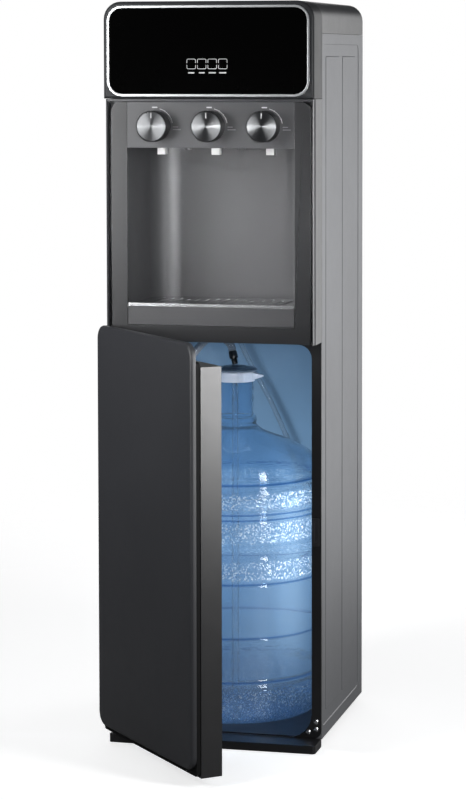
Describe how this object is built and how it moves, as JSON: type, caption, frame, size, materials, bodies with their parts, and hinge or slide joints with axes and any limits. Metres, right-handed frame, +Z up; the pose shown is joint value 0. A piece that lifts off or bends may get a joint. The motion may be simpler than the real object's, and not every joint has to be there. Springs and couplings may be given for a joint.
{
  "type": "bottom-loading water dispenser",
  "caption": "Floor-standing cabinet that draws water from a bottle behind a hinged door and dispenses it through turn knobs into an alcove with a drip tray.",
  "frame": {"origin": "centre of the closed cabinet's footprint, on the floor", "axes": "+X to the right seen from the front, +Y towards the back, +Z up"},
  "size_m": [0.3255, 0.5707, 1.082],
  "materials": {
    "frame_black": "fine moulded grain",
    "cabinet_steel": "satin grey powder coat",
    "rear_steel": "dark satin coat",
    "condenser_black": "black dip coat",
    "bay_blue": "smooth moulded",
    "screw_steel": "bright zinc",
    "catch_black": "moulded",
    "shell_charcoal": "satin metallic charcoal",
    "fascia_grey": "satin charcoal",
    "alcove_grey": "satin",
    "tray_grey": "satin",
    "grille_steel": "brushed",
    "knob_black": "black",
    "disc_metal": "circular brushed",
    "nozzle_white": "white",
    "valve_cream": "moulded",
    "trim_chrome": "polished",
    "display_black": "polished black",
    "board_green": "circuit board",
    "shelf_steel": "galvanised",
    "compressor_black": "black enamel",
    "foam_white": "moulded foam jacket",
    "tank_metal": "satin metal",
    "pump_dark": "moulded",
    "housing_black": "moulded",
    "rocker_red": "red",
    "rocker_green": "green",
    "outlet_white": "off-white",
    "door_charcoal": "fine-grained charcoal",
    "door_grey": "smooth grey",
    "strike_steel": "bright",
    "hinge_steel": "zinc plated",
    "bottle_blue": "translucent blue",
    "water": "clear water",
    "tube_clear": "translucent",
    "hose_grey": "translucent silicone",
    "cap_white": "white",
    "probe_grey": "smoke grey",
    "fitting_black": "black"
  },
  "bodies": {
    "cabinet": {"alcove_liner": "alcove_grey", "back_panel": "rear_steel", "base_plinth": "frame_black", "bay_frame": "frame_black", "bay_liner": "bay_blue", "bottle_cap": "cap_white", "bottle_water": "water", "cold_nozzle": "nozzle_white", "cold_tank": "foam_white", "cold_valve": "valve_cream", "compressor": "compressor_black", "condenser_coil": "condenser_black", "control_panel": "fascia_grey", "dip_tube": "tube_clear", "dispense_frame": "fascia_grey", "display_board": "board_green", "display_panel": "display_black", "display_trim": "trim_chrome", "drain_cap": "housing_black", "drain_hose": "tube_clear", "drain_outlet": "outlet_white", "equipment_shelf": "shelf_steel", "frame_screw_1": "screw_steel", "frame_screw_2": "screw_steel", "frame_screw_3": "screw_steel", "head_bezel": "shell_charcoal", "hose_fitting": "fitting_black", "hot_nozzle": "nozzle_white", "hot_tank": "tank_metal", "hot_valve": "valve_cream", "left_side_panel": "cabinet_steel", "lower_hinge": "hinge_steel", "magnetic_catch": "catch_black", "mains_gland": "housing_black", "probe_head": "probe_grey", "right_side_panel": "cabinet_steel", "suction_hose": "hose_grey", "surround_shell": "shell_charcoal", "switch_housing": "housing_black", "tank_shelf": "shelf_steel", "top_cover": "shell_charcoal", "upper_hinge": "hinge_steel", "warm_nozzle": "nozzle_white", "warm_valve": "valve_cream", "water_bottle": "bottle_blue", "water_pump": "pump_dark"},
    "door": {"door_panel": "door_charcoal", "door_carrier": "frame_black", "door_inner": "door_grey", "door_strike": "strike_steel"},
    "hot_tap": {"hot_knob": "knob_black", "hot_knob_disc": "disc_metal"},
    "warm_tap": {"warm_knob": "knob_black", "warm_knob_disc": "disc_metal"},
    "cold_tap": {"cold_knob": "knob_black", "cold_knob_disc": "disc_metal"},
    "tray": {"drip_tray": "tray_grey"},
    "grille": {"drip_grille": "grille_steel"},
    "heating_rocker": {"heating_switch": "rocker_red"},
    "cooling_rocker": {"cooling_switch": "rocker_green"}
  },
  "joints": [
    {"name": "door_hinge", "type": "hinge", "parent": "cabinet", "child": "door", "pos_m": [-0.1443, -0.15, 0.3], "axis": [0, 0, -1], "range_deg": [-49, 56]},
    {"name": "hot_tap_turn", "type": "hinge", "parent": "cabinet", "child": "hot_tap", "pos_m": [-0.081, -0.164, 0.9035], "axis": [0, 1, 0], "range_deg": [0, 90]},
    {"name": "warm_tap_turn", "type": "hinge", "parent": "cabinet", "child": "warm_tap", "pos_m": [0, -0.164, 0.9035], "axis": [0, 1, 0], "range_deg": [0, 90]},
    {"name": "cold_tap_turn", "type": "hinge", "parent": "cabinet", "child": "cold_tap", "pos_m": [0.081, -0.164, 0.9035], "axis": [0, 1, 0], "range_deg": [0, 90]},
    {"name": "tray_slide", "type": "slide", "parent": "cabinet", "child": "tray", "axis": [0, -1, 0], "range_m": [0, 0.12]},
    {"name": "grille_lift", "type": "slide", "parent": "tray", "child": "grille", "axis": [0, 0, 1], "range_m": [0, 0.06]},
    {"name": "heating_rock", "type": "hinge", "parent": "cabinet", "child": "heating_rocker", "pos_m": [-0.0965, 0.1642, 0.905], "axis": [1, 0, 0], "range_deg": [0, 16]},
    {"name": "cooling_rock", "type": "hinge", "parent": "cabinet", "child": "cooling_rocker", "pos_m": [-0.0715, 0.1642, 0.905], "axis": [1, 0, 0], "range_deg": [0, 16]}
  ]
}
